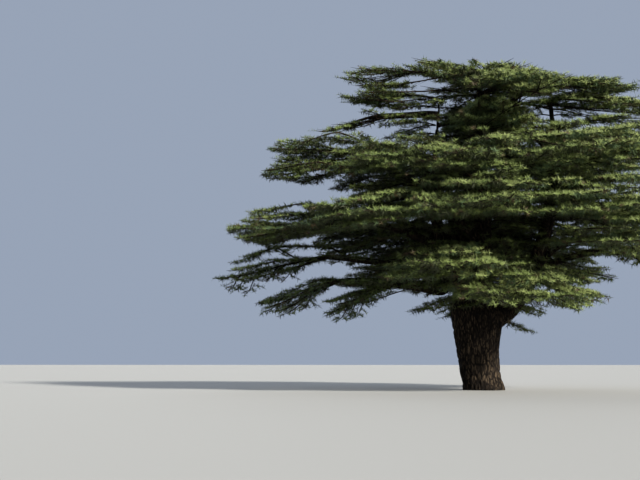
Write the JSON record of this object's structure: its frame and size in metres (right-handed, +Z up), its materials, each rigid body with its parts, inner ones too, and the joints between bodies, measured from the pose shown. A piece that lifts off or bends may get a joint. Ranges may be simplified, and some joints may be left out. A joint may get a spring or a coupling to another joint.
{
  "type": "cedar tree",
  "caption": "Mature park cedar with a stout trunk that forks low, rising stems, near-level boughs and flat tiers of dark green needles.",
  "frame": {"origin": "middle of the flat cut under the trunk, at ground level", "axes": "+Z up along the trunk, +X to the right and +Y away when the tree is seen from the picture's side"},
  "size_m": [30.2644, 25.0865, 19.9349],
  "materials": {
    "bark": "rough, deeply furrowed bark",
    "foliage": "matt evergreen needles"
  },
  "bodies": {
    "root": {"trunk": "bark", "stem_right": "bark", "stem_left": "bark", "stem_back": "bark", "stem_front": "bark", "head_right_bough": "bark", "head_right_low_bough": "bark", "head_left_spur_bough": "bark", "upper_left_under_bough": "bark", "upper_front_left_bough": "bark", "upper_front_right_bough": "bark", "upper_back_right_bough": "bark", "upper_back_left_bough": "bark", "middle_left_bough": "bark", "middle_front_left_bough": "bark", "middle_front_right_bough": "bark", "middle_back_right_bough": "bark", "middle_back_left_bough": "bark", "low_left_bough": "bark", "low_left_droop_bough": "bark", "low_left_inner_bough": "bark", "low_right_outer_bough": "bark", "low_front_outer_bough": "bark", "head_top": "foliage", "head_left": "foliage", "head_right": "foliage", "head_left_low": "foliage", "head_right_low": "foliage", "head_front": "foliage", "head_back": "foliage", "head_heart": "foliage", "head_left_spur": "foliage", "upper_left": "foliage", "upper_left_under": "foliage", "upper_front_left": "foliage", "upper_front": "foliage", "upper_front_right": "foliage", "upper_right": "foliage", "upper_back_right": "foliage", "upper_back": "foliage", "upper_back_left": "foliage", "middle_left": "foliage", "middle_left_inner": "foliage", "middle_front_left": "foliage", "middle_front": "foliage", "middle_front_right": "foliage", "middle_right": "foliage", "middle_back_right": "foliage", "middle_back": "foliage", "middle_back_left": "foliage", "low_left": "foliage", "low_left_droop": "foliage", "low_left_inner": "foliage", "low_front": "foliage", "low_front_right": "foliage", "low_right": "foliage", "low_right_outer": "foliage", "low_front_outer": "foliage", "low_back_right": "foliage", "low_back_left": "foliage"}
  },
  "joints": []
}
